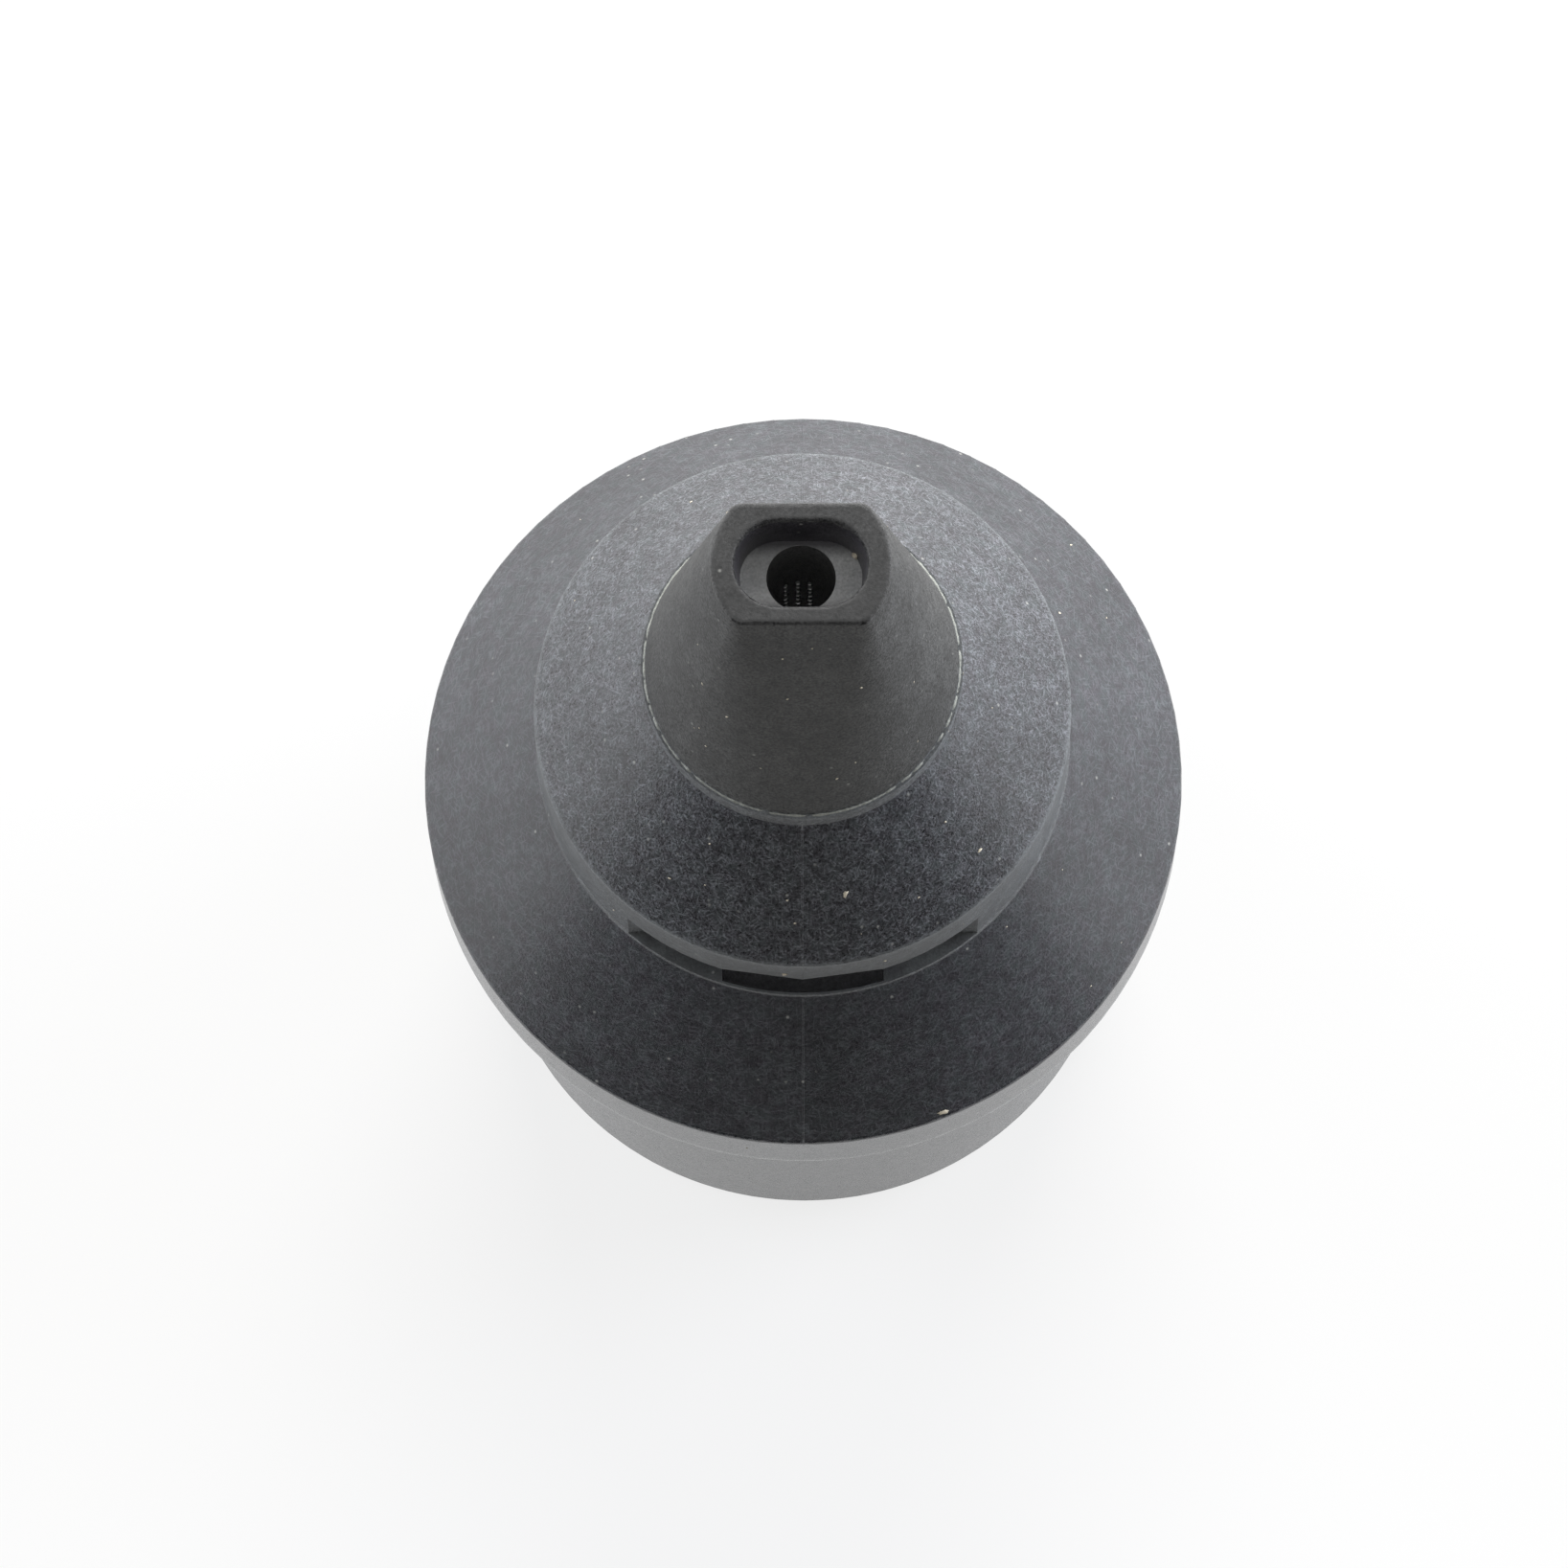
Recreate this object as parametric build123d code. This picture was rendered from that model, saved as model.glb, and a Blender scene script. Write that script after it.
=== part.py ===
"""Moulded pick-up nozzle of a surface-mount placement machine: one solid, in millimetres.

The nozzle stands on the mouth of its socket, at z = 0, and its suction tip points up, along +Z.
The two fork slots and the two flats of the tip face front and back, -Y and +Y.
The two mould halves part on the plane x = 0, and an insert drawn along +Z forms the tip.
"""

import os
from math import asin, atan2, degrees, radians, sqrt, tan

from build123d import *

# Socket for the sleeve of the placement head, and the collar round it
SOCKET_DIAMETER = 8.4
SOCKET_DEPTH = 8.0
SOCKET_LEAD_IN = 0.4
COLLAR_WALL = 1.4

# Latch windows through the collar, on the left and the right
LATCH_WINDOW_WIDTH = 3.0
LATCH_WINDOW_HEIGHT = 1.4
LATCH_WINDOW_RISE = 2.4
LATCH_WINDOW_CORNER = 0.3

# Flange with a conical upper side
FLANGE_OVERHANG = 0.9
FLANGE_RIM_HEIGHT = 1.42
FLANGE_CONE_RISE = 2.26

# Neck with the fork slots that the changer's fork holds
FORK_FLATS = 6.8
FORK_SLOT_DEPTH = 1.08
FORK_SLOT_HEIGHT = 0.88
NECK_LIP_HEIGHT = 0.87

# Relief of the lip and the core pocket below it, in the middle of each fork slot
RELIEF_WIDTH = 2.7
RELIEF_HEIGHT = 0.45
RELIEF_SETBACK = 0.025
POCKET_EDGE = 0.03
POCKET_DEPTH = 1.5
POCKET_WEB = 0.8

# Shoulder cone and the ring where the tip insert shuts off
SHOULDER_RISE = 2.05
RING_DIAMETER = 5.28
RING_HEIGHT = 0.38
RING_STEP = 0.06

# Tip: a cone that flattens from a round foot to a narrow end
TIP_FLAT_FOOT_WIDTH = 1.0
TIP_LENGTH = 5.3
TIP_END_DIAMETER = 2.86
TIP_CORNER_RADIUS = 0.2

# Suction recess in the end of the tip
RECESS_SIDE_WALL = 0.37
RECESS_FLAT_WALL = 0.28
RECESS_DEPTH = 0.78
RECESS_DRAFT = 7

# Vacuum way from the socket to the recess
SEAT_WALL = 0.4
SEAT_HEIGHT = 4.5
CHANNEL_DIAMETER = 2.4
BORE_DIAMETER = 1.1
BORE_LENGTH = 3.6
BORE_LEDGE = 0.065

# Edge radii
FLANGE_EDGE = 0.1
FLANGE_FOOT_EDGE = 0.25
FOOT_EDGE = 0.15
NECK_EDGE = 0.06
NECK_ROOT = 0.15
TIP_EDGE = 0.1
RECESS_EDGE = 0.08

# Levels, from the mouth of the socket up
POCKET_FLOOR = SOCKET_DEPTH + POCKET_WEB
SLOT_FLOOR = POCKET_FLOOR + POCKET_DEPTH
FLANGE_TOP = SLOT_FLOOR - FLANGE_CONE_RISE
FLANGE_BOTTOM = FLANGE_TOP - FLANGE_RIM_HEIGHT
NECK_TOP = SLOT_FLOOR + FORK_SLOT_HEIGHT + NECK_LIP_HEIGHT
RING_BOTTOM = NECK_TOP + SHOULDER_RISE
TIP_FOOT = RING_BOTTOM + RING_HEIGHT
TIP_END = TIP_FOOT + TIP_LENGTH
RECESS_FLOOR = TIP_END - RECESS_DEPTH
BORE_FOOT = RECESS_FLOOR - BORE_LENGTH
SEAT_TOP = SOCKET_DEPTH + SEAT_HEIGHT

# Radii
SOCKET_RADIUS = SOCKET_DIAMETER / 2
COLLAR_RADIUS = SOCKET_RADIUS + COLLAR_WALL
FLANGE_RADIUS = COLLAR_RADIUS + FLANGE_OVERHANG
NECK_RADIUS = FORK_FLATS / 2 + FORK_SLOT_DEPTH
SEAT_RADIUS = FORK_FLATS / 2 - SEAT_WALL
RING_RADIUS = RING_DIAMETER / 2
TIP_FOOT_RADIUS = RING_RADIUS - RING_STEP
CHANNEL_RADIUS = CHANNEL_DIAMETER / 2
BORE_RADIUS = BORE_DIAMETER / 2

# Width across the recess and across the flats of the tip's end, so that the recess floor takes the bore
RECESS_WIDTH = BORE_DIAMETER + 2 * (BORE_LEDGE + RECESS_DEPTH * tan(radians(RECESS_DRAFT)))
TIP_END_WIDTH = RECESS_WIDTH + 2 * RECESS_FLAT_WALL

CLEAR = 1.0  # how far a cutting solid runs past what it cuts
FRONT_AND_BACK = (0, 180)
SIDES = (90, 270)
FROM_FLAT = (Align.CENTER, Align.MAX, Align.MIN)
ON_AXIS = (Align.CENTER, Align.CENTER, Align.MIN)


def turned(points, radii):
    """A solid of revolution about Z from (radius, height) corners, each with its own rounding.

    It closes at the back, on the plane where the mould parts.
    """
    outline = FilletPolyline(*points, radius=radii, close=True)
    return revolve(Plane.YZ * make_face(outline), axis=Axis.Z)


def outer_body():
    """Collar, flange, neck, shoulder and ring, without any hollow."""
    corners = [
        ((0, 0), 0),
        ((COLLAR_RADIUS, 0), FOOT_EDGE),
        ((COLLAR_RADIUS, FLANGE_BOTTOM), 0),
        ((FLANGE_RADIUS, FLANGE_BOTTOM), FLANGE_FOOT_EDGE),
        ((FLANGE_RADIUS, FLANGE_TOP), FLANGE_EDGE),
        ((NECK_RADIUS, SLOT_FLOOR), NECK_ROOT),
        ((NECK_RADIUS, NECK_TOP), NECK_EDGE),
        ((RING_RADIUS, RING_BOTTOM), 0),
        ((RING_RADIUS, TIP_FOOT), 0),
        ((0, TIP_FOOT), 0),
    ]
    return turned([point for point, _ in corners], [radius for _, radius in corners])


def tip_end():
    """The flat end of the tip: a circle cut by two flats, with rounded corners."""
    outline = Circle(TIP_END_DIAMETER / 2) & Rectangle(TIP_END_DIAMETER, TIP_END_WIDTH)
    return fillet(outline.vertices(), TIP_CORNER_RADIUS)


def tip_foot():
    """The round foot of the tip, as one arc for each edge of its end: flat, corner, side, corner, twice."""
    corner_reach = TIP_END_DIAMETER / 2 - TIP_CORNER_RADIUS
    corner_y = TIP_END_WIDTH / 2 - TIP_CORNER_RADIUS
    corner_x = sqrt(corner_reach**2 - corner_y**2)
    side = degrees(atan2(corner_x, corner_y))
    flat = degrees(asin(TIP_FLAT_FOOT_WIDTH / 2 / TIP_FOOT_RADIUS))
    start = -90 - flat
    arcs = []
    for span in (2 * flat, side - flat, 180 - 2 * side, side - flat) * 2:
        arcs.append(CenterArc((0, 0), TIP_FOOT_RADIUS, start, span))
        start += span
    return make_face(arcs)


def tip():
    """The outside of the tip, ruled from its foot to its end, with the end's edge rounded."""
    body = loft([Pos(0, 0, TIP_FOOT) * tip_foot(), Pos(0, 0, TIP_END) * tip_end()], ruled=True)
    return fillet(body.faces().sort_by(Axis.Z)[-1].edges(), TIP_EDGE)


def vacuum_way():
    """Socket, conical seat, channel and bore as one turned hollow, open at the mouth and in the recess."""
    throat = CHANNEL_RADIUS - BORE_RADIUS
    mouth = SOCKET_RADIUS + SOCKET_LEAD_IN
    points = [
        (0, -CLEAR),
        (mouth + CLEAR, -CLEAR),
        (SOCKET_RADIUS, SOCKET_LEAD_IN),
        (SOCKET_RADIUS, SOCKET_DEPTH),
        (SEAT_RADIUS, SOCKET_DEPTH),
        (CHANNEL_RADIUS, SEAT_TOP),
        (CHANNEL_RADIUS, BORE_FOOT - throat),
        (BORE_RADIUS, BORE_FOOT),
        (BORE_RADIUS, TIP_END),
        (0, TIP_END),
    ]
    return turned(points, [0] * len(points))


def suction_recess():
    """The round-ended recess sunk in the end of the tip, with drafted walls."""
    mouth = SlotOverall(TIP_END_DIAMETER - 2 * RECESS_SIDE_WALL, RECESS_WIDTH)
    sunk = extrude(mouth, -RECESS_DEPTH, taper=RECESS_DRAFT)
    return Pos(0, 0, TIP_END) * (sunk + extrude(mouth, CLEAR))


def fork_slot():
    """The front fork slot: a straight chord cut, with the lip's two relief flats and the core pocket."""
    flat = FORK_FLATS / 2
    reach = FLANGE_RADIUS
    slot = Pos(0, -flat, SLOT_FLOOR) * Box(2 * reach, reach, FORK_SLOT_HEIGHT, align=FROM_FLAT)

    half = RELIEF_WIDTH / 2
    edge = sqrt(NECK_RADIUS**2 - half**2)
    peak = NECK_RADIUS - RELIEF_SETBACK
    plan = Polyline((-half, -edge), (0, -peak), (half, -edge), (half, -reach), (-half, -reach), close=True)
    relief = Pos(0, 0, SLOT_FLOOR) * extrude(make_face(plan), FORK_SLOT_HEIGHT + RELIEF_HEIGHT)

    block = Pos(0, -flat, 0) * Box(RELIEF_WIDTH, reach, POCKET_DEPTH, align=FROM_FLAT)
    drum = Cylinder(NECK_RADIUS - POCKET_EDGE, POCKET_DEPTH, align=ON_AXIS)
    return slot + relief + Pos(0, 0, POCKET_FLOOR) * (block & drum)


def latch_window():
    """The front latch window: a rounded opening through the collar's wall."""
    outline = RectangleRounded(LATCH_WINDOW_WIDTH, LATCH_WINDOW_HEIGHT, LATCH_WINDOW_CORNER)
    centre = LATCH_WINDOW_RISE + LATCH_WINDOW_HEIGHT / 2
    return Plane.XZ * Pos(0, centre, 0) * extrude(outline, COLLAR_RADIUS + CLEAR)


def nozzle_body():
    """The whole moulding."""
    body = outer_body() + tip()
    body -= vacuum_way() + suction_recess()
    land = body.faces().sort_by(Axis.Z)[-1]
    body = fillet(land.inner_wires()[0].edges(), RECESS_EDGE)
    for turn in FRONT_AND_BACK:
        body -= Rot(0, 0, turn) * fork_slot()
    for turn in SIDES:
        body -= Rot(0, 0, turn) * latch_window()
    return body


os.makedirs("parts", exist_ok=True)
export_step(nozzle_body(), "parts/nozzle_body.step")
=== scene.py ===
"""Studio scene of a moulded pick-up nozzle: its carbon-filled polymer, its mould marks and its dust.

Everything is in metres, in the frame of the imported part; sizes are written as millimetres times MM.
"""

import math
import random

import bmesh
import bpy
from bpy.props import FloatProperty, FloatVectorProperty, IntProperty, PointerProperty
from mathutils import Matrix, Vector, noise
from mathutils.bvhtree import BVHTree


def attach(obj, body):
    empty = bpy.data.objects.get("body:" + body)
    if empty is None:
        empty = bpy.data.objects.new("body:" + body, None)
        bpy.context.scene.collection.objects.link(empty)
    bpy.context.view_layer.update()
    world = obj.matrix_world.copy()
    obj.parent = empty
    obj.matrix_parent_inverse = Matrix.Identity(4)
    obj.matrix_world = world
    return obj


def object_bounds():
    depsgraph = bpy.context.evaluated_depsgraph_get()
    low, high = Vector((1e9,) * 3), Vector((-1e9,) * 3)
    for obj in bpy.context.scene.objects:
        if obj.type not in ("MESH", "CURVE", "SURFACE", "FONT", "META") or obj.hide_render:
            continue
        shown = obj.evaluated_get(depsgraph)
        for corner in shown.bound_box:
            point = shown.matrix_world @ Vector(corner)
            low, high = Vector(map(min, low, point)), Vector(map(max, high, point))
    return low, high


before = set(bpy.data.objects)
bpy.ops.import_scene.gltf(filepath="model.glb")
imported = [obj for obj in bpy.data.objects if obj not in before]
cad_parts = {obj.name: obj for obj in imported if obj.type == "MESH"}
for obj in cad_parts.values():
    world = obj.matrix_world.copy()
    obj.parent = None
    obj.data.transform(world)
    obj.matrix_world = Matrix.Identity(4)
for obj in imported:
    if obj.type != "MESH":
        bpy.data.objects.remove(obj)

bl_info = {
    "name": "Moulded Pick-up Nozzle",
    "version": (1, 0, 0),
    "blender": (4, 5, 0),
    "location": "View3D > Sidebar > Nozzle",
    "description": "Finishes a moulded vacuum nozzle and sets it on a pale studio floor",
    "category": "Object",
}

MM = 0.001
BODY = "root"
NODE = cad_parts["nozzle_body"]
CAD_LOW, CAD_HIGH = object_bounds()
SURFACE = BVHTree.FromObject(NODE, bpy.context.evaluated_depsgraph_get())

PHOTO_SIZE = 1637  # pixels, each way
SENSOR = 36.0  # millimetres
ROUND_SIDE = 60  # degrees from the front: clear of the fork slots, the tip's flats and the latch windows
DOWN = Vector((0, 0, -1))
NUDGE = 0.02 * MM  # keeps a mask's limit, or the floor, off the face that it is next to


def reach(point):
    """Distance of a point from the nozzle's axis."""
    return math.hypot(point.x, point.y)


def outside(azimuth, height):
    """Point and normal of the nozzle's outside at an azimuth, in degrees from the front, and a height."""
    turn = math.radians(azimuth)
    way = Vector((math.sin(turn), -math.cos(turn), 0))
    far = CAD_HIGH.x - CAD_LOW.x
    hit, normal, _, _ = SURFACE.ray_cast(way * far + Vector((0, 0, height)), -way)
    return hit, normal


def straight_runs(step=0.02 * MM, shortest=0.2 * MM, bend=0.002 * MM):
    """Lowest and highest point of each straight stretch of the round outline, from the foot up."""
    count = int((CAD_HIGH.z - CAD_LOW.z) / step)
    points = [outside(ROUND_SIDE, CAD_LOW.z + step * (i + 0.5))[0] for i in range(count)]
    runs = []
    start = 0
    for i in range(1, count - 1):
        turn = abs(reach(points[i + 1]) - 2 * reach(points[i]) + reach(points[i - 1]))
        if turn > bend or i == count - 2:
            if (i - start) * step > shortest:
                runs.append((points[start], points[i]))
            start = i + 1
    return runs


COLLAR, RIM, FLANGE, NECK, SHOULDER, RING, TIP = straight_runs()


def linear(colour):
    """Linear RGBA of an sRGB hex colour."""
    parts = [int(colour[i:i + 2], 16) / 255 for i in (1, 3, 5)]
    return (*[c / 12.92 if c <= 0.04045 else ((c + 0.055) / 1.055) ** 2.4 for c in parts], 1.0)


def colour_property(name, description, colour):
    """A colour that a user can change, with an sRGB hex default."""
    return FloatVectorProperty(
        name=name, description=description, subtype="COLOR", size=4, min=0, max=1, default=linear(colour))


def length_property(name, description, size):
    """A length that a user can change."""
    return FloatProperty(name=name, description=description, unit="LENGTH", precision=5, min=0, default=size)


class NozzlePolymer(bpy.types.PropertyGroup):
    """Colours and textures of the moulded polymer"""

    body_colour: colour_property("Body", "Polymer from the polished mould halves", "#353338")
    flow_colour: colour_property("Flow", "Body polymer where the melt flowed slower", "#333739")
    tip_colour: colour_property("Tip", "Polymer from the spark-eroded tip insert", "#414140")
    # Bands: a paler colour on the neck's and ring's bands, and a small share of it on the shoulder; partly a
    # duller finish, partly painted sheen
    band_sheen_colour: colour_property("Bands", "Upright bands, dulled as the mould slid off them", "#585b5b")
    land_colour: colour_property("Land", "End of the tip, polished by the parts that it lifts", "#343434")
    # Recess floor: a pale colour that is painted light on the floor of the tip's recess
    recess_light_colour: colour_property("Recess floor", "Floor of the tip's recess, from a polished core", "#a4a5a5")
    # Pocket floors: a pale colour that is painted light in the shade of the core pockets
    pocket_light_colour: colour_property("Pocket floors", "Floors of the core pockets, pale with dust", "#9c9ca2")
    # Worn edges: partly wear, partly a highlight painted along the neck's and ring's upper edges
    worn_highlight_colour: colour_property("Worn edges", "Edges rubbed pale", "#606365")
    # Worn rim: a painted highlight along the lower edge of the flange's rim, broken into patches
    rim_highlight_colour: colour_property("Worn rim", "Lower edge of the flange's rim, rubbed palest", "#8f9291")
    fibre_colour: colour_property("Fibres", "Fibres in the surface", "#83848a")
    # Sparkles: small bright spots painted into the colour as glints
    glint_colour: colour_property("Sparkles", "Bright filler grains", "#9a9a95")
    grain_size: length_property("Grain", "Size of the mould's grain, as coarse as it needs to show", 0.045 * MM)
    fibre_length: length_property("Fibre length", "Length of a fibre that lies in the surface", 0.22 * MM)
    fibre_width: length_property("Fibre width", "Width of a fibre, as coarse as it needs to show", 0.026 * MM)
    mottle_size: length_property("Mottle", "Size of the small tone changes", 0.22 * MM)
    blotch_size: length_property("Blotches", "Size of the soft tone changes", 0.9 * MM)
    relief: length_property("Relief", "Height of the grain", 0.016 * MM)


class NozzleMouldMarks(bpy.types.PropertyGroup):
    """Sizes of the marks that the mould left"""

    seam_width: length_property("Seam width", "Width of the parting seam", 0.045 * MM)
    seam_height: length_property("Seam height", "Height of the parting seam", 0.0045 * MM)
    flash_height: length_property("Flash height", "Height of the flash round the tip's foot", 0.036 * MM)
    # Flash: a pale colour that is a painted highlight on the film of flash
    flash_highlight_colour: colour_property("Flash", "Thin polymer edges", "#94968f")
    # Drag marks: a pale colour that is a painted reflection on the beads in the bore
    drag_highlight_colour: colour_property("Drag marks", "Polymer scraped pale by the core pin", "#d2d4d2")
    drag_spacing: length_property("Drag spacing", "Between the drag marks in the bore", 0.195 * MM)
    drag_width: length_property("Drag width", "Width of a drag mark", 0.085 * MM)


class NozzleDust(bpy.types.PropertyGroup):
    """Dust on the nozzle"""

    colour: colour_property("Dust", "Paper and skin dust", "#d9cfba")
    grains: IntProperty(name="Grains", description="Fine grains scattered all over", default=45, min=0)
    grain_size: length_property("Grain size", "Mean size of a scattered grain", 0.024 * MM)
    seed: IntProperty(name="Seed", description="Start of the random scatter", default=7)


class NozzleStudio(bpy.types.PropertyGroup):
    """Camera, lamps and floor"""

    camera_distance: length_property("Camera distance", "From the flange's top", 130 * MM)
    camera_tilt: FloatProperty(
        name="Camera tilt", description="Off the nozzle's axis, towards the front", subtype="ANGLE",
        default=math.radians(16.5))
    camera_sway: FloatProperty(
        name="Camera sway", description="Off the nozzle's axis, towards the right", subtype="ANGLE",
        default=math.radians(0.3))
    focal_pixels: FloatProperty(
        name="Focal length", description="In pixels of the photograph", default=7888.0)
    aim_height: length_property("Aim height", "Height of the flange's top, which the camera aims at", 7.75 * MM)
    aim_right: FloatProperty(
        name="Aim right", description="Pixels from the picture's middle to the aim", default=20.1)
    aim_up: FloatProperty(name="Aim up", description="Pixels from the picture's middle to the aim", default=3.1)
    room_light: FloatProperty(
        name="Room light", description="Strength of the pale room as a light", default=0.45)
    wall_light: FloatProperty(
        name="Wall light", description="Strength of the room's walls in reflections", default=0.95)
    floor_colour: colour_property("Floor", "Matt white paper", "#6b6b6a")
    floor_glow: FloatProperty(
        name="Floor glow", description="What the camera sees above the lit paper", default=0.785)
    floor_radius: length_property("Floor radius", "Where the paper has faded into the room", 120 * MM)


def add_node(tree, kind, inputs=None, **settings):
    """Adds a node with its settings; each input takes a value, or a link from another node's socket."""
    node = tree.nodes.new(kind)
    for name, value in settings.items():
        setattr(node, name, value)
    for name, value in (inputs or {}).items():
        if isinstance(value, bpy.types.NodeSocket):
            tree.links.new(value, node.inputs[name])
        else:
            node.inputs[name].default_value = value
    return node


def new_material(name):
    """An empty node material."""
    material = bpy.data.materials.new(name)
    material.use_nodes = True
    material.node_tree.nodes.clear()
    return material


# Finish of each stretch of the outline: its foot, contrast of the grain, roughness and share of the pale band
# colour, which is partly painted sheen
ZONES = (
    (CAD_LOW.z, (0.30, 0.24, 0.0)),
    (FLANGE[0].z, (0.32, 0.36, 0.0)),
    (NECK[0].z - 0.1 * MM, (0.46, 0.46, 0.8)),
    (SHOULDER[0].z, (0.66, 0.33, 0.15)),
    (RING[0].z, (0.85, 0.46, 0.9)),
    (TIP[0].z, (0.88, 0.80, 0.0)),
    (CAD_HIGH.z - 0.06 * MM, (0.80, 0.40, 0.0)),
)
RECESS_FINISH = (0.50, 0.40, 0.0)
POCKET_FINISH = (0.50, 0.60, 0.0)
# Edges that are paler: partly wear, partly a painted highlight
WORN_HIGHLIT_EDGES = (NECK[1], RING[1])
WEAR_AND_HIGHLIGHT = (0.13, 0.03)  # millimetres from an edge: where the wear and the painted highlight start, and where they are full
FIBRE_TURNS = (-41, -13, 12, 38, 84)  # degrees from the way round the axis
FIBRE_LEVELS = (0.64, 0.82)  # of the noise: where a fibre starts, and where it is full
FIBRE_SHARE = 0.5  # of the fibres' colour, at full contrast
SPARKLE_SPACING = 0.25 * MM
SPARKLE_LEVELS = (0.15, 0.04)  # of the spacing: where a sparkle starts, and where it is full
SPARKLE_PICK = 0.65  # of the cells have no sparkle
SMEARS_PER_MM = (2.2, 14, 1)  # round the axis, and up
MOTTLE_SHARE = 0.35  # of the mottle beside the grain
GRAIN_GAIN = 5.0
DARKEST_TONE = 0.12
CLOUD_TONES = (0.8, 1.2)
FLAT_LEAN = 0.9  # upward share of a normal, from which a face counts as flat
POLYMER_IOR = 1.85  # the carbon in the skin makes it shinier than the plain polymer's 1.6
PLAIN_IOR = 1.6


def fibre_streaks(tree, unrolled, polymer):
    """Single fibres in the surface, most of them lying round the axis, as the melt flowed."""
    streaks = 0.0
    for turn in FIBRE_TURNS:
        lie = add_node(tree, "ShaderNodeVectorRotate", {
            "Vector": unrolled, "Angle": math.radians(turn)}, rotation_type="Z_AXIS").outputs[0]
        drawn = add_node(tree, "ShaderNodeVectorMath", {
            0: lie, 1: (MM / polymer.fibre_length, MM / polymer.fibre_width, 1), 2: (turn, turn, 0)},
            operation="MULTIPLY_ADD").outputs[0]
        field = add_node(tree, "ShaderNodeTexNoise", {
            "Vector": drawn, "Scale": 1.0, "Detail": 0.0}, noise_dimensions="2D").outputs[0]
        line = add_node(tree, "ShaderNodeMapRange", {
            "Value": field, "From Min": FIBRE_LEVELS[0], "From Max": FIBRE_LEVELS[1]},
            interpolation_type="SMOOTHSTEP").outputs[0]
        streaks = add_node(tree, "ShaderNodeMath", {0: line, 1: streaks}, operation="MAXIMUM").outputs[0]
    return streaks


def all_of(tree, *tests):
    """1 where each test holds; a test is a socket, an operation and a number."""
    both = 1.0
    for value, operation, limit in tests:
        held = add_node(tree, "ShaderNodeMath", {0: value, 1: limit}, operation=operation).outputs[0]
        both = add_node(tree, "ShaderNodeMath", {0: held, 1: both}, operation="MULTIPLY").outputs[0]
    return both


def recess_masks(tree, spot, height):
    """1 in the recess of the tip, and 1 on the two ends of its floor, where light is painted; beside the bore it
    fades to painted shade.
    """
    edge, floor_skin = 0.09 * MM, 0.03 * MM
    fit = 0.92  # the recess lies in an oval that is a little wider than its mouth
    mouth = CAD_HIGH.z - edge
    sides = [
        SURFACE.ray_cast(Vector((0, 0, mouth)), Vector(way))[3] / MM for way in ((1, 0, 0), (0, 1, 0))]
    beside_bore = Vector((0.8 * sides[0] * MM, 0, mouth))
    floor = SURFACE.ray_cast(beside_bore, DOWN)[0].z
    oval = add_node(tree, "ShaderNodeVectorMath", {
        0: spot, 1: (fit / sides[0], fit / sides[1], 0)}, operation="MULTIPLY").outputs[0]
    away = add_node(tree, "ShaderNodeVectorMath", {0: oval}, operation="LENGTH").outputs["Value"]
    inside = (away, "LESS_THAN", 1.0), (height, "GREATER_THAN", (floor - NUDGE) / MM)
    recess, low = [
        all_of(tree, *inside, (height, "LESS_THAN", top / MM)) for top in (mouth, floor + floor_skin)]
    aside = add_node(tree, "ShaderNodeSeparateXYZ", {0: spot}).outputs["Y"]
    aside = add_node(tree, "ShaderNodeMath", {0: aside}, operation="ABSOLUTE").outputs[0]
    # Towards the long walls beside the bore the painted light fades out: painted shade where those walls shade the
    # floor
    ends = add_node(tree, "ShaderNodeMapRange", {
        "Value": aside, "From Min": 0.80 * sides[1], "From Max": 0.45 * sides[1]}).outputs[0]
    return recess, add_node(tree, "ShaderNodeMath", {0: low, 1: ends}, operation="MULTIPLY").outputs[0]


def pocket_mask(tree, away, height):
    """1 on the floors of the core pockets, where light is painted into their shade: inside the neck's outline,
    outside the vacuum way.
    """
    neck = reach(NECK[0])
    lit_foot_height = 0.25 * MM  # height of the foot of the pocket's walls that takes the painted light
    in_slot = Vector((0, -0.85 * neck, NECK[0].z + 0.2 * MM))
    floor = SURFACE.ray_cast(in_slot, DOWN)[0].z
    return all_of(
        tree, (away, "LESS_THAN", 0.999 * neck / MM), (away, "GREATER_THAN", 0.73 * neck / MM),
        (height, "LESS_THAN", (floor + lit_foot_height) / MM), (height, "GREATER_THAN", (floor - NUDGE) / MM))


def edge_wear_and_highlight(tree, away, height, edges):
    """1 on each of these round edges, falling to 0 beside it."""
    profile = add_node(tree, "ShaderNodeCombineXYZ", {"X": away, "Y": height}).outputs[0]
    wear_and_highlight = 0.0
    for edge in edges:
        gap = add_node(tree, "ShaderNodeVectorMath", {
            0: profile, 1: (reach(edge) / MM, edge.z / MM, 0)}, operation="DISTANCE").outputs["Value"]
        line = add_node(tree, "ShaderNodeMapRange", {
            "Value": gap, "From Min": WEAR_AND_HIGHLIGHT[0], "From Max": WEAR_AND_HIGHLIGHT[1]}).outputs[0]
        wear_and_highlight = add_node(tree, "ShaderNodeMath", {0: line, 1: wear_and_highlight}, operation="MAXIMUM").outputs[0]
    return wear_and_highlight


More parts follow.
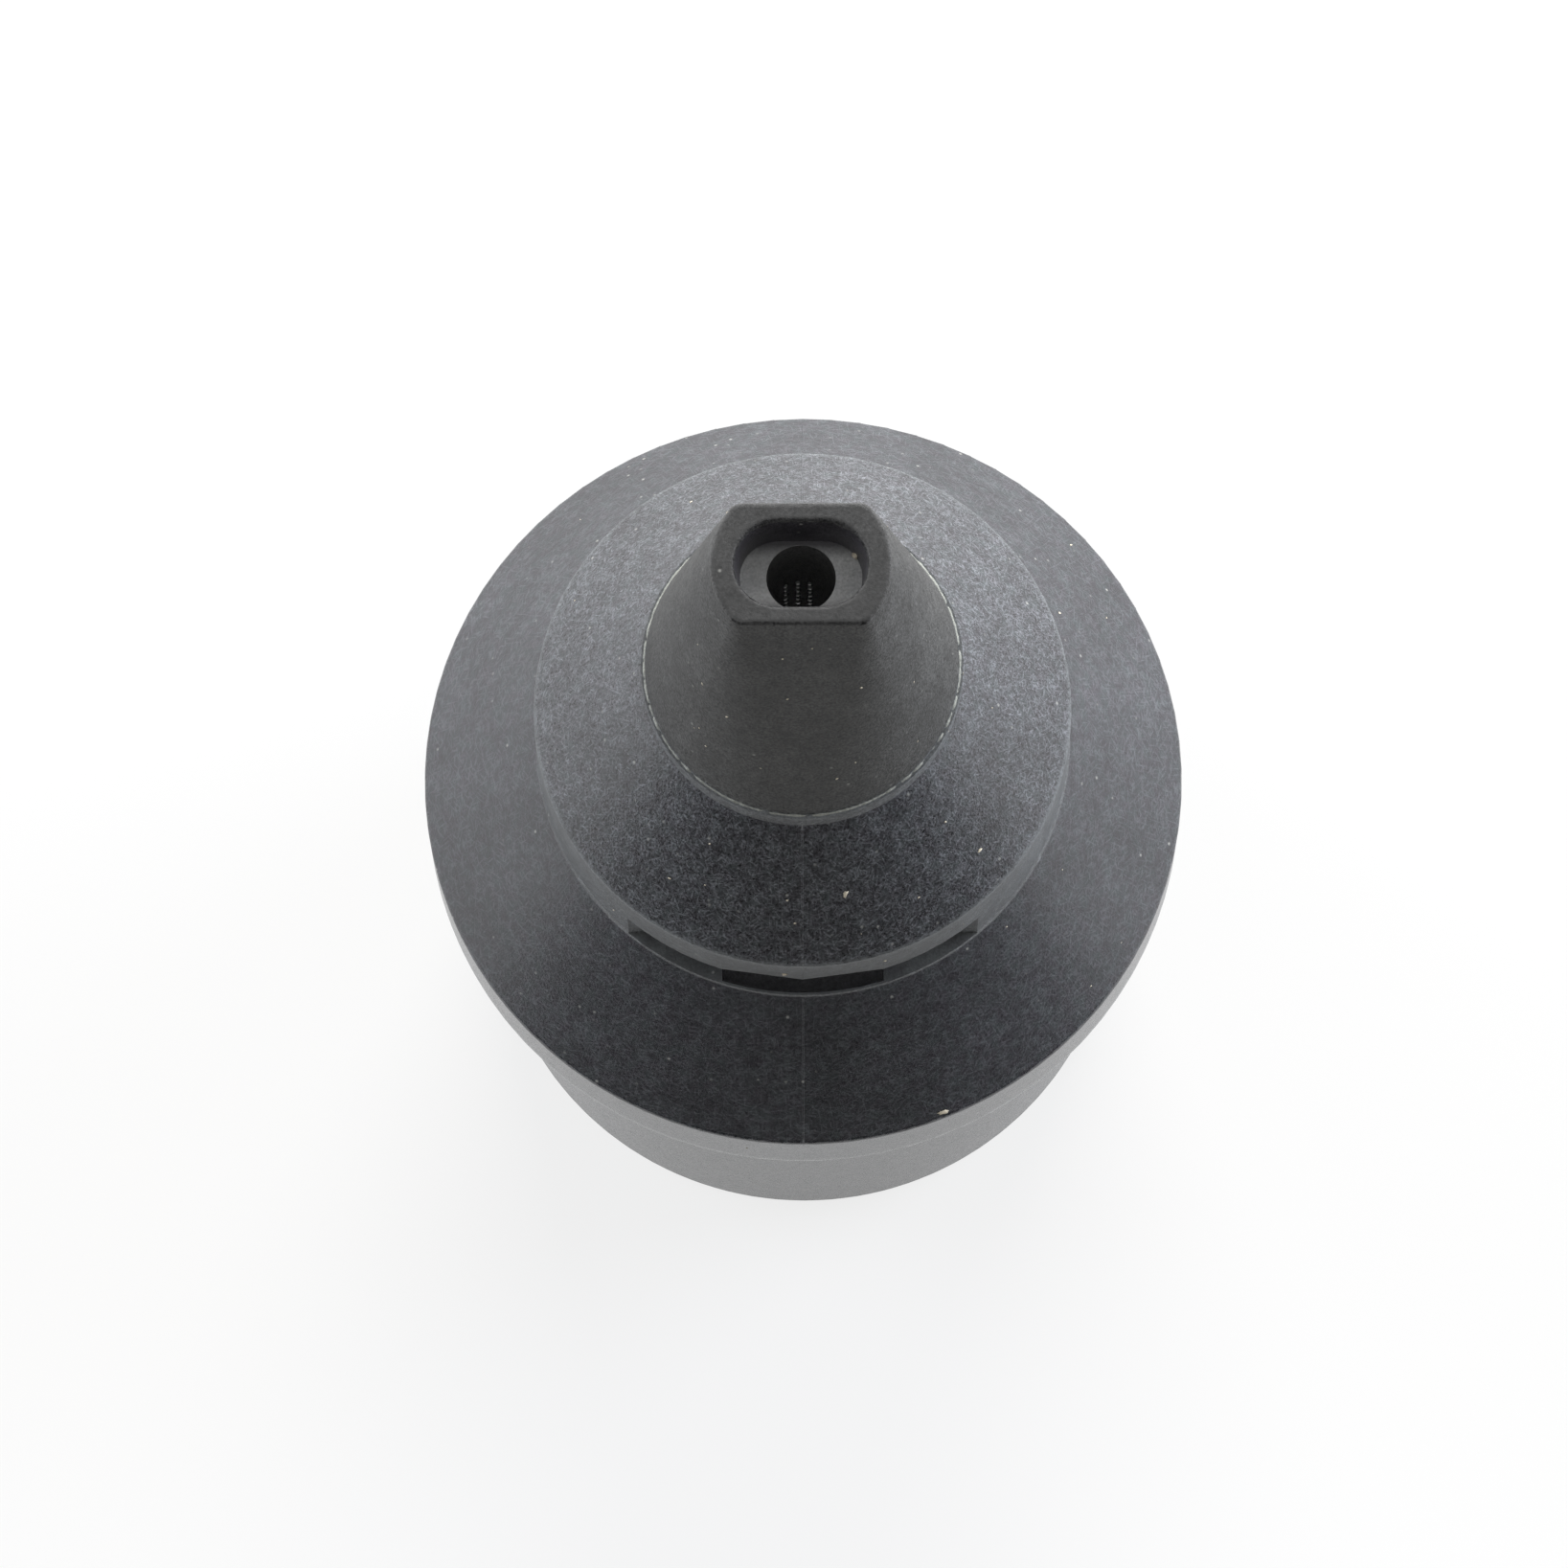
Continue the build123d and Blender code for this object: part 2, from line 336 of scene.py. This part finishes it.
def sparkles(tree, spot):
    """Small round spots of painted glint, each in one of the cells picked for it."""
    cells = add_node(tree, "ShaderNodeTexVoronoi", {"Vector": spot, "Scale": MM / SPARKLE_SPACING})
    near = add_node(tree, "ShaderNodeMapRange", {
        "Value": cells.outputs["Distance"], "From Min": SPARKLE_LEVELS[0],
        "From Max": SPARKLE_LEVELS[1]}).outputs[0]
    pick = add_node(tree, "ShaderNodeSeparateColor", {0: cells.outputs["Color"]}).outputs[0]
    picked = add_node(tree, "ShaderNodeMapRange", {
        "Value": pick, "From Min": SPARKLE_PICK, "From Max": 1.0}).outputs[0]
    return add_node(tree, "ShaderNodeMath", {0: near, 1: picked}, operation="MULTIPLY").outputs[0]


def filled_polymer(polymer):
    """Carbon-fibre-filled liquid crystal polymer, as moulded: a satin black, speckled with fibre ends.

    The tip came out of a spark-eroded insert, so it is matt and grainy; the rest copies a polished mould.
    """
    material = new_material("carbon_filled_lcp_as_moulded")
    tree = material.node_tree
    coords = add_node(tree, "ShaderNodeTexCoord")
    spot = add_node(tree, "ShaderNodeVectorMath", {
        0: coords.outputs["Object"], "Scale": 1 / MM}, operation="SCALE").outputs[0]
    axes = add_node(tree, "ShaderNodeSeparateXYZ", {0: spot})
    height = axes.outputs["Z"]

    # Unrolled round the axis from the front, with its seam at the back, under the parting seam
    front = add_node(tree, "ShaderNodeMath", {0: axes.outputs["Y"], 1: -1.0}, operation="MULTIPLY").outputs[0]
    turn = add_node(tree, "ShaderNodeMath", {0: axes.outputs["X"], 1: front}, operation="ARCTAN2").outputs[0]
    round_way = add_node(tree, "ShaderNodeMath", {
        0: turn, 1: reach(SHOULDER[0]) / MM}, operation="MULTIPLY").outputs[0]
    unrolled = add_node(tree, "ShaderNodeCombineXYZ", {"X": round_way, "Y": height}).outputs[0]

    # Finish by zone
    zone = (0.0, 0.0, 0.0)
    above = []
    for foot, finish in ZONES:
        over = add_node(tree, "ShaderNodeMath", {0: height, 1: foot / MM}, operation="GREATER_THAN").outputs[0]
        zone = add_node(tree, "ShaderNodeMix", {0: over, 4: zone, 5: finish}, data_type="VECTOR").outputs[1]
        above.append(over)
    tip, land = above[-2:]
    out = add_node(tree, "ShaderNodeVectorMath", {0: spot, 1: (1, 1, 0)}, operation="MULTIPLY").outputs[0]
    away = add_node(tree, "ShaderNodeVectorMath", {0: out}, operation="LENGTH").outputs["Value"]
    recess, recess_painted_light = recess_masks(tree, spot, height)
    pocket = pocket_mask(tree, away, height)
    for mask, finish in ((recess, RECESS_FINISH), (pocket, POCKET_FINISH)):
        zone = add_node(tree, "ShaderNodeMix", {0: mask, 4: zone, 5: finish}, data_type="VECTOR").outputs[1]
    contrast, roughness, band_and_sheen = add_node(tree, "ShaderNodeSeparateXYZ", {0: zone}).outputs

    grain, mottle, blotch = [
        add_node(tree, "ShaderNodeTexNoise", {
            "Vector": spot, "Scale": MM / size, "Detail": detail, "Roughness": 0.65}).outputs[0]
        for size, detail in ((polymer.grain_size, 2.0), (polymer.mottle_size, 2.0), (polymer.blotch_size, 3.0))]
    smear = add_node(tree, "ShaderNodeVectorMath", {
        0: unrolled, 1: SMEARS_PER_MM}, operation="MULTIPLY").outputs[0]
    smear = add_node(tree, "ShaderNodeTexNoise", {"Vector": smear, "Scale": 1.0, "Detail": 2.0}).outputs[0]

    # Flat faces have half the grain; fibres lie only in the cones and the upright walls of the body
    lean = add_node(tree, "ShaderNodeSeparateXYZ", {0: coords.outputs["Normal"]}).outputs["Z"]
    lean = add_node(tree, "ShaderNodeMath", {0: lean}, operation="ABSOLUTE").outputs[0]
    upright = add_node(tree, "ShaderNodeMath", {0: lean, 1: FLAT_LEAN}, operation="LESS_THAN").outputs[0]
    share = add_node(tree, "ShaderNodeMapRange", {"Value": upright, "To Min": 0.5, "To Max": 1.0}).outputs[0]
    contrast = add_node(tree, "ShaderNodeMath", {0: contrast, 1: share}, operation="MULTIPLY").outputs[0]
    fibres = add_node(tree, "ShaderNodeMath", {
        0: fibre_streaks(tree, unrolled, polymer), 1: upright}, operation="MULTIPLY").outputs[0]
    body = add_node(tree, "ShaderNodeMath", {0: 1.0, 1: tip}, operation="SUBTRACT").outputs[0]
    for share in (body, contrast, FIBRE_SHARE):
        fibres = add_node(tree, "ShaderNodeMath", {0: fibres, 1: share}, operation="MULTIPLY").outputs[0]
    patchy = add_node(tree, "ShaderNodeMapRange", {"Value": smear, "To Min": 0.35, "To Max": 1.0}).outputs[0]
    # Paler edges: wear and a painted highlight on the neck's and ring's edges; a painted highlight alone on the
    # rim's lower edge
    wear_and_highlight, rim_highlight = [
        add_node(tree, "ShaderNodeMath", {
            0: edge_wear_and_highlight(tree, away, height, edges), 1: patchy}, operation="MULTIPLY").outputs[0]
        for edges in (WORN_HIGHLIT_EDGES, RIM[:1])]
    band_and_sheen = add_node(tree, "ShaderNodeMath", {0: band_and_sheen, 1: smear}, operation="MULTIPLY").outputs[0]
    band_and_sheen = add_node(tree, "ShaderNodeMath", {0: band_and_sheen, 1: 1.6}, operation="MULTIPLY", use_clamp=True).outputs[0]

    # Colour: the melt's two tones, the tip's and its land's, the bands' (partly painted sheen), painted light and
    # shade in the hollows, then fibres, wear with painted highlights on the edges and the rim, grain, and painted
    # glints
    flow = add_node(tree, "ShaderNodeMapRange", {
        "Value": mottle, "From Min": 0.35, "From Max": 0.65}).outputs[0]
    colour = polymer.body_colour
    for share, paint in (
            (flow, polymer.flow_colour), (tip, polymer.tip_colour), (land, polymer.land_colour),
            (band_and_sheen, polymer.band_sheen_colour), (recess, polymer.body_colour), (recess_painted_light, polymer.recess_light_colour),
            (pocket, polymer.pocket_light_colour), (fibres, polymer.fibre_colour), (wear_and_highlight, polymer.worn_highlight_colour),
            (rim_highlight, polymer.rim_highlight_colour)):
        colour = add_node(tree, "ShaderNodeMix", {0: share, 6: colour, 7: paint}, data_type="RGBA").outputs[2]
    uneven = add_node(tree, "ShaderNodeMath", {
        0: mottle, 1: MOTTLE_SHARE, 2: grain}, operation="MULTIPLY_ADD").outputs[0]
    uneven = add_node(tree, "ShaderNodeMath", {
        0: uneven, 1: (1 + MOTTLE_SHARE) / 2}, operation="SUBTRACT").outputs[0]
    uneven = add_node(tree, "ShaderNodeMath", {0: uneven, 1: GRAIN_GAIN}, operation="MULTIPLY").outputs[0]
    tone = add_node(tree, "ShaderNodeMath", {
        0: uneven, 1: contrast, 2: 1.0}, operation="MULTIPLY_ADD").outputs[0]
    tone = add_node(tree, "ShaderNodeMath", {0: tone, 1: DARKEST_TONE}, operation="MAXIMUM").outputs[0]
    cloud = add_node(tree, "ShaderNodeMapRange", {
        "Value": blotch, "From Min": 0.3, "From Max": 0.7, "To Min": CLOUD_TONES[0],
        "To Max": CLOUD_TONES[1]}).outputs[0]
    tone = add_node(tree, "ShaderNodeMath", {0: tone, 1: cloud}, operation="MULTIPLY").outputs[0]
    colour = add_node(tree, "ShaderNodeVectorMath", {0: colour, "Scale": tone}, operation="SCALE").outputs[0]
    colour = add_node(tree, "ShaderNodeMix", {
        0: sparkles(tree, spot), 6: colour, 7: polymer.glint_colour}, data_type="RGBA").outputs[2]

    rough = add_node(tree, "ShaderNodeMath", {
        0: uneven, 1: 0.06, 2: roughness}, operation="MULTIPLY_ADD").outputs[0]
    lift = add_node(tree, "ShaderNodeMath", {0: grain, 1: contrast}, operation="MULTIPLY").outputs[0]
    bump = add_node(tree, "ShaderNodeBump", {"Height": lift, "Distance": polymer.relief}).outputs[0]
    shader = add_node(tree, "ShaderNodeBsdfPrincipled", {
        "Base Color": colour, "Roughness": rough, "IOR": POLYMER_IOR, "Normal": bump})
    add_node(tree, "ShaderNodeOutputMaterial", {"Surface": shader.outputs[0]})
    return material


def plain_polymer(name, colour, roughness, grain_size):
    """One colour with a fine grain in its tone, its gloss and its relief, for a small mark or crumb."""
    material = new_material(name)
    tree = material.node_tree
    place = add_node(tree, "ShaderNodeTexCoord").outputs["Object"]
    grain = add_node(tree, "ShaderNodeTexNoise", {
        "Vector": place, "Scale": 1 / grain_size, "Detail": 2.0}).outputs[0]
    tone = add_node(tree, "ShaderNodeMapRange", {"Value": grain, "To Min": 0.5, "To Max": 1.5}).outputs[0]
    paint = add_node(tree, "ShaderNodeVectorMath", {
        0: tuple(colour)[:3], "Scale": tone}, operation="SCALE").outputs[0]
    rough = add_node(tree, "ShaderNodeMapRange", {
        "Value": grain, "To Min": roughness - 0.1, "To Max": roughness + 0.1}).outputs[0]
    bump = add_node(tree, "ShaderNodeBump", {"Height": grain, "Distance": 0.1 * grain_size}).outputs[0]
    shader = add_node(tree, "ShaderNodeBsdfPrincipled", {
        "Base Color": paint, "Roughness": rough, "IOR": PLAIN_IOR, "Normal": bump})
    add_node(tree, "ShaderNodeOutputMaterial", {"Surface": shader.outputs[0]})
    return material


def add_mesh(name, form, material):
    """A new object from a bmesh, with its normals outward and its faces smooth."""
    bmesh.ops.recalc_face_normals(form, faces=form.faces)
    mesh = bpy.data.meshes.new(name)
    form.to_mesh(mesh)
    form.free()
    mesh.materials.append(material)
    mesh.shade_smooth()
    thing = bpy.data.objects.new(name, mesh)
    bpy.context.scene.collection.objects.link(thing)
    return thing


def add_piece(name, form, material):
    """A piece of the nozzle, which moves with it."""
    piece = add_mesh(name, form, material)
    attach(piece, BODY)
    return piece


def skin(form, sections, closed=False):
    """Covers a row of sections with like points; an open row gets a cap at each end."""
    rings = [[form.verts.new(point) for point in section] for section in sections]
    pairs = list(zip(rings, rings[1:]))
    if closed:
        pairs.append((rings[-1], rings[0]))
    for one, two in pairs:
        for i in range(len(one)):
            form.faces.new((one[i - 1], one[i], two[i], two[i - 1]))
    if not closed:
        form.faces.new(rings[0])
        form.faces.new(rings[-1])


def pebble(form, centre, out, lie, sizes, lumps=0.0, salt=0.0):
    """A small lump on a surface: sizes are its length along lie, its width and its height along out."""
    side = out.cross(lie).normalized()
    lie = side.cross(out).normalized()
    grown = bmesh.ops.create_icosphere(form, subdivisions=2, radius=0.5)
    for vert in grown["verts"]:
        swell = 1 + lumps * noise.noise(vert.co * 3.1 + Vector((salt, -salt, 0.7 * salt)))
        spread = vert.co * swell
        vert.co = centre + lie * spread.x * sizes[0] + side * spread.y * sizes[1] + out * spread.z * sizes[2]


class NOZZLE_OT_finish_body(bpy.types.Operator):
    """Gives the moulding its polymer"""

    bl_idname = "nozzle.finish_body"
    bl_label = "Finish Body"

    def execute(self, context):
        NODE.material_slots[0].material = filled_polymer(context.scene.nozzle_polymer)
        return {"FINISHED"}


def seam_stretches(azimuth, step=0.08 * MM):
    """Points and normals up the round outside at an azimuth, broken at steps and where it isn't round."""
    stretches = [[]]
    for i in range(1, int(TIP[0].z / step)):
        hit, normal = outside(azimuth, i * step)
        last = stretches[-1][-1][0] if stretches[-1] else hit
        off_round = abs(reach(hit) - reach(outside(ROUND_SIDE, i * step)[0])) > step
        if off_round or (hit - last).length > 3 * step:
            stretches.append([])
        if not off_round:
            stretches[-1].append((hit, normal))
    return [stretch for stretch in stretches if len(stretch) > 2]


class NOZZLE_OT_add_parting_seam(bpy.types.Operator):
    """Adds the fine seam where the two mould halves met, front and back"""

    bl_idname = "nozzle.add_parting_seam"
    bl_label = "Add Parting Seam"

    def execute(self, context):
        marks = context.scene.nozzle_marks
        material = NODE.material_slots[0].material
        for name, azimuth in (("parting_seam_front", 0), ("parting_seam_back", 180)):
            form = bmesh.new()
            across = Vector((math.cos(math.radians(azimuth)), math.sin(math.radians(azimuth)), 0))
            for stretch in seam_stretches(azimuth):
                sections = []
                for point, normal in stretch:
                    wave = noise.noise(Vector((azimuth, 0, point.z / (0.3 * MM))))
                    half = across * marks.seam_width / 2 * (1 + 0.3 * wave)
                    crest = normal * marks.seam_height * (1 + 0.6 * wave)
                    root = normal * marks.seam_height
                    sections.append((
                        point - half - root, point - half * 0.5 + crest * 0.7,
                        point + half * 0.2 + crest, point + half - root))
                skin(form, sections)
            add_piece(name, form, material)
        return {"FINISHED"}


class NOZZLE_OT_add_shut_off_flash(bpy.types.Operator):
    """Adds the ragged film of flash where the tip insert shut off on the ring"""

    bl_idname = "nozzle.add_shut_off_flash"
    bl_label = "Add Shut-off Flash"

    def execute(self, context):
        marks = context.scene.nozzle_marks
        # The flash's pale colour is a painted highlight: the light that its thin edge catches
        material = plain_polymer("polymer_flash_painted_highlight", marks.flash_highlight_colour, 0.25, 0.04 * MM)
        inner, ledge = reach(TIP[0]), RING[1].z
        sunk, root = 0.03 * MM, 0.02 * MM  # into the tip, and into the ring
        bead, waver = 0.042 * MM, 0.012 * MM  # past the tip's foot, and how far that varies
        form = bmesh.new()
        sections = []
        for step in range(720):
            turn = math.radians(step / 2)
            way = Vector((math.sin(turn), -math.cos(turn), 0))
            rag = noise.fractal(way * 14, 1.0, 2.0, 3)
            rise = marks.flash_height * max(0.35, 0.8 + 0.9 * rag)
            rim = inner + bead + waver * rag
            sections.append([way * spread + Vector((0, 0, ledge + lift)) for spread, lift in (
                (inner - sunk, -root), (inner - sunk, rise), (rim - waver, 0.5 * rise), (rim, -0.5 * root),
                (rim - root, -root))])
        skin(form, sections, closed=True)
        add_piece("shut_off_flash", form, material)
        return {"FINISHED"}


class NOZZLE_OT_add_drag_marks(bpy.types.Operator):
    """Adds the three beaded drag marks that the core pin left low on the back of the bore"""

    bl_idname = "nozzle.add_drag_marks"
    bl_label = "Add Drag Marks"

    def execute(self, context):
        marks = context.scene.nozzle_marks
        # The marks' pale colour is a painted reflection of the light from above, deep in the bore
        material = plain_polymer("drag_marks_painted_reflection", marks.drag_highlight_colour, 0.25, 0.05 * MM)
        form = bmesh.new()
        low, high, beads = 15.9 * MM, 17.1 * MM, 7
        left = 0.06 * MM  # of the middle
        for column in (-1, 0, 1):
            for bead in range(beads):
                level = low + (high - low) * bead / (beads - 1)
                start = Vector((column * marks.drag_spacing - left, 0, level))
                point, normal, _, _ = SURFACE.ray_cast(start, Vector((0, 1, 0)))
                size = marks.drag_width * (1 + 0.4 * noise.noise(Vector((column * 7.3, bead * 1.7, 0))))
                pebble(form, point, normal, Vector((0, 0, 1)), (2.0 * size, size, 0.6 * size))
        add_piece("drag_marks", form, material)
        return {"FINISHED"}


# Crumbs that the photograph shows: pixel, length and width in millimetres, and turn in degrees
CRUMBS = (
    (883, 933, 0.14, 0.06, 75), (822, 940, 0.04, 0.03, 20), (830, 964, 0.04, 0.03, 0),
    (819, 1017, 0.10, 0.07, 60), (741, 881, 0.04, 0.03, 30), (699, 917, 0.06, 0.03, -20),
    (736, 924, 0.03, 0.02, 0), (924, 1003, 0.05, 0.04, 0), (1023, 888, 0.09, 0.04, 40),
    (987, 858, 0.04, 0.03, 0), (893, 580, 0.15, 0.12, 30), (985, 1161, 0.18, 0.08, 15),
    (899, 718, 0.05, 0.04, 0), (822, 730, 0.04, 0.03, 50), (817, 688, 0.04, 0.04, 0),
    (737, 779, 0.04, 0.03, 10), (730, 760, 0.03, 0.03, 0), (893, 796, 0.03, 0.03, 70),
    (794, 802, 0.03, 0.02, 0), (958, 774, 0.04, 0.02, 60),
)


class NOZZLE_OT_add_dust(bpy.types.Operator):
    """Adds the crumbs that the photograph shows, and fine dust all over"""

    bl_idname = "nozzle.add_dust"
    bl_label = "Add Dust"

    def execute(self, context):
        dust = context.scene.nozzle_dust
        # Paper fluff is matt and warm white
        material = plain_polymer("paper_dust", dust.colour, 0.8, 0.02 * MM)
        form = bmesh.new()
        eye, right, up, back = camera_axes(context.scene.nozzle_studio)
        focal = context.scene.nozzle_studio.focal_pixels
        for i, (x, y, length, width, turn) in enumerate(CRUMBS):
            ray = right * (x - PHOTO_SIZE / 2) + up * (PHOTO_SIZE / 2 - y) - back * focal
            point, normal, _, _ = SURFACE.ray_cast(eye, ray.normalized())
            lie = right * math.cos(math.radians(turn)) + up * math.sin(math.radians(turn))
            pebble(form, point, normal, lie, (length * MM, width * MM, 0.6 * width * MM), 0.8, 1.7 * i)
        chance = random.Random(dust.seed)
        for i in range(dust.grains):
            azimuth, level = chance.uniform(0, 360), chance.uniform(RIM[0].z, TIP[1].z)
            size = dust.grain_size * chance.uniform(0.5, 1.5)
            point, normal = outside(azimuth, level)
            lie = normal.orthogonal()
            pebble(form, point, normal, lie, (size * chance.uniform(1, 2), size, 0.5 * size), 0.8, 2.3 * i)
        add_piece("dust", form, material)
        return {"FINISHED"}


class NOZZLE_OT_set_stage(bpy.types.Operator):
    """Sets the floor, the lamps and the camera"""

    bl_idname = "nozzle.set_stage"
    bl_label = "Set Stage"

    def execute(self, context):
        studio = context.scene.nozzle_studio
        add_floor(studio)
        add_flag()
        add_lamps()
        add_room(context.scene, studio)
        add_camera(context.scene, studio)
        context.scene.view_settings.view_transform = "Standard"
        return {"FINISHED"}


def seen_rays(tree):
    """1 for what the camera sees, also in a reflection or through glass; 0 for what only lights."""
    path = add_node(tree, "ShaderNodeLightPath")
    seen = path.outputs["Is Camera Ray"]
    for kind in ("Is Glossy Ray", "Is Transmission Ray"):
        seen = add_node(tree, "ShaderNodeMath", {
            0: seen, 1: path.outputs[kind]}, operation="MAXIMUM").outputs[0]
    return seen


def add_floor(studio):
    """Matt white paper that shows as white, keeps the shadow, and fades into the pale room."""
    material = new_material("matt_white_paper")
    tree = material.node_tree
    glow = add_node(tree, "ShaderNodeMath", {
        0: seen_rays(tree), 1: studio.floor_glow}, operation="MULTIPLY").outputs[0]
    paper = add_node(tree, "ShaderNodeBsdfPrincipled", {
        "Base Color": studio.floor_colour, "Roughness": 0.9, "Specular IOR Level": 0.0,
        "Emission Color": linear("#ffffff"), "Emission Strength": glow})
    place = add_node(tree, "ShaderNodeTexCoord").outputs["Object"]
    away = add_node(tree, "ShaderNodeVectorMath", {0: place}, operation="LENGTH").outputs["Value"]
    fade = add_node(tree, "ShaderNodeMapRange", {
        "Value": away, "From Min": 0.5 * studio.floor_radius, "From Max": studio.floor_radius},
        interpolation_type="SMOOTHSTEP").outputs[0]
    clear = add_node(tree, "ShaderNodeBsdfTransparent")
    surface = add_node(tree, "ShaderNodeMixShader", {0: fade, 1: paper.outputs[0], 2: clear.outputs[0]})
    add_node(tree, "ShaderNodeOutputMaterial", {"Surface": surface.outputs[0]})
    form = bmesh.new()
    below = Matrix.Translation((0, 0, CAD_LOW.z - NUDGE))
    bmesh.ops.create_circle(form, cap_ends=True, segments=96, radius=studio.floor_radius, matrix=below)
    add_mesh("floor", form, material)


def add_flag():
    """A black card in front, which only reflections see: it keeps the front of the cones dark."""
    material = new_material("black_card")
    tree = material.node_tree
    shader = add_node(tree, "ShaderNodeBsdfDiffuse", {"Color": linear("#101010")})
    add_node(tree, "ShaderNodeOutputMaterial", {"Surface": shader.outputs[0]})
    front, half, top = -40 * MM, 95 * MM, 60 * MM
    form = bmesh.new()
    corners = ((-half, front, 0), (half, front, 0), (half, front, top), (-half, front, top))
    form.faces.new([form.verts.new(corner) for corner in corners])
    flag = add_mesh("flag", form, material)
    flag.visible_camera = False
    flag.visible_diffuse = False
    flag.visible_shadow = False


# Lamps: name, place and diameter in millimetres, power in watts, and colour
LAMPS = (
    ("back_lamp", (15, 140, 75), 120, 0.43, "#fffdfa"),
    ("left_lamp", (-150, 50, 45), 110, 0.22, "#eef3ff"),
    ("right_lamp", (150, 60, 45), 110, 0.40, "#eef3ff"),
)


def add_lamps():
    """Soft lamps behind and at both sides, which no reflection shows."""
    middle = (CAD_LOW + CAD_HIGH) / 2
    for name, place, size, power, colour in LAMPS:
        lamp = bpy.data.lights.new(name, "AREA")
        lamp.shape = "DISK"
        lamp.size = size * MM
        lamp.energy = power
        lamp.color = linear(colour)[:3]
        thing = bpy.data.objects.new(name, lamp)
        thing.location = Vector(place) * MM
        thing.visible_glossy = False
        thing.rotation_euler = (thing.location - middle).to_track_quat("Z", "Y").to_euler()
        bpy.context.scene.collection.objects.link(thing)


def add_room(scene, studio):
    """A pale room: white to the camera, softer as a light; reflections see its walls brighter than its top."""
    top_rise, wall_rise = 0.85, 0.25  # upward share of a direction
    room = bpy.data.worlds.new("pale_room")
    room.use_nodes = True
    tree = room.node_tree
    tree.nodes.clear()
    way = add_node(tree, "ShaderNodeTexCoord").outputs["Generated"]
    rise = add_node(tree, "ShaderNodeSeparateXYZ", {0: way}).outputs["Z"]
    walls = add_node(tree, "ShaderNodeMapRange", {
        "Value": rise, "From Min": top_rise, "From Max": wall_rise, "To Min": studio.room_light,
        "To Max": studio.wall_light}, interpolation_type="SMOOTHSTEP").outputs[0]
    path = add_node(tree, "ShaderNodeLightPath")
    strength = studio.room_light
    for kind, level in (("Is Glossy Ray", walls), ("Is Transmission Ray", 1.0), ("Is Camera Ray", 1.0)):
        strength = add_node(tree, "ShaderNodeMapRange", {
            "Value": path.outputs[kind], "To Min": strength, "To Max": level}).outputs[0]
    light = add_node(tree, "ShaderNodeBackground", {"Color": linear("#fdfdfc"), "Strength": strength})
    add_node(tree, "ShaderNodeOutputWorld", {"Surface": light.outputs[0]})
    scene.world = room


def camera_axes(studio):
    """The camera's place and its right, up and back directions, at the photograph's angle."""
    tilt, sway = studio.camera_tilt, studio.camera_sway
    back = Vector((math.sin(sway), -math.sin(tilt) * math.cos(sway), math.cos(tilt) * math.cos(sway)))
    right = Vector((0, 1, 0)).cross(back).normalized()
    up = back.cross(right)
    pixel = studio.camera_distance / studio.focal_pixels
    aim = Vector((0, 0, studio.aim_height)) - (right * studio.aim_right + up * studio.aim_up) * pixel
    return aim + back * studio.camera_distance, right, up, back


def add_camera(scene, studio):
    """The camera at the photograph's angle."""
    lens = bpy.data.cameras.new("camera")
    lens.sensor_width = SENSOR
    lens.lens = SENSOR * studio.focal_pixels / PHOTO_SIZE
    lens.clip_start = 1 * MM
    camera = bpy.data.objects.new("camera", lens)
    eye, right, up, back = camera_axes(studio)
    camera.matrix_world = Matrix.Translation(eye) @ Matrix((right, up, back)).transposed().to_4x4()
    scene.collection.objects.link(camera)
    scene.camera = camera


class NOZZLE_PT_sidebar(bpy.types.Panel):
    """Lists the nozzle's operators"""

    bl_idname = "NOZZLE_PT_sidebar"
    bl_label = "Nozzle"
    bl_space_type = "VIEW_3D"
    bl_region_type = "UI"
    bl_category = "Nozzle"

    def draw(self, context):
        for operator in OPERATORS:
            self.layout.operator(operator.bl_idname)


OPERATORS = (
    NOZZLE_OT_finish_body, NOZZLE_OT_add_parting_seam, NOZZLE_OT_add_shut_off_flash, NOZZLE_OT_add_drag_marks,
    NOZZLE_OT_add_dust, NOZZLE_OT_set_stage)
GROUPS = {
    "nozzle_polymer": NozzlePolymer, "nozzle_marks": NozzleMouldMarks, "nozzle_dust": NozzleDust,
    "nozzle_studio": NozzleStudio}
CLASSES = (*GROUPS.values(), *OPERATORS, NOZZLE_PT_sidebar)


def register():
    for cls in CLASSES:
        bpy.utils.register_class(cls)
    for name, group in GROUPS.items():
        setattr(bpy.types.Scene, name, PointerProperty(type=group))


def unregister():
    for name in GROUPS:
        delattr(bpy.types.Scene, name)
    for cls in reversed(CLASSES):
        bpy.utils.unregister_class(cls)


def main():
    """Builds the scene."""
    register()
    bpy.ops.nozzle.finish_body()
    bpy.ops.nozzle.add_parting_seam()
    bpy.ops.nozzle.add_shut_off_flash()
    bpy.ops.nozzle.add_drag_marks()
    bpy.ops.nozzle.add_dust()
    bpy.ops.nozzle.set_stage()


if __name__ == "__main__":
    main()
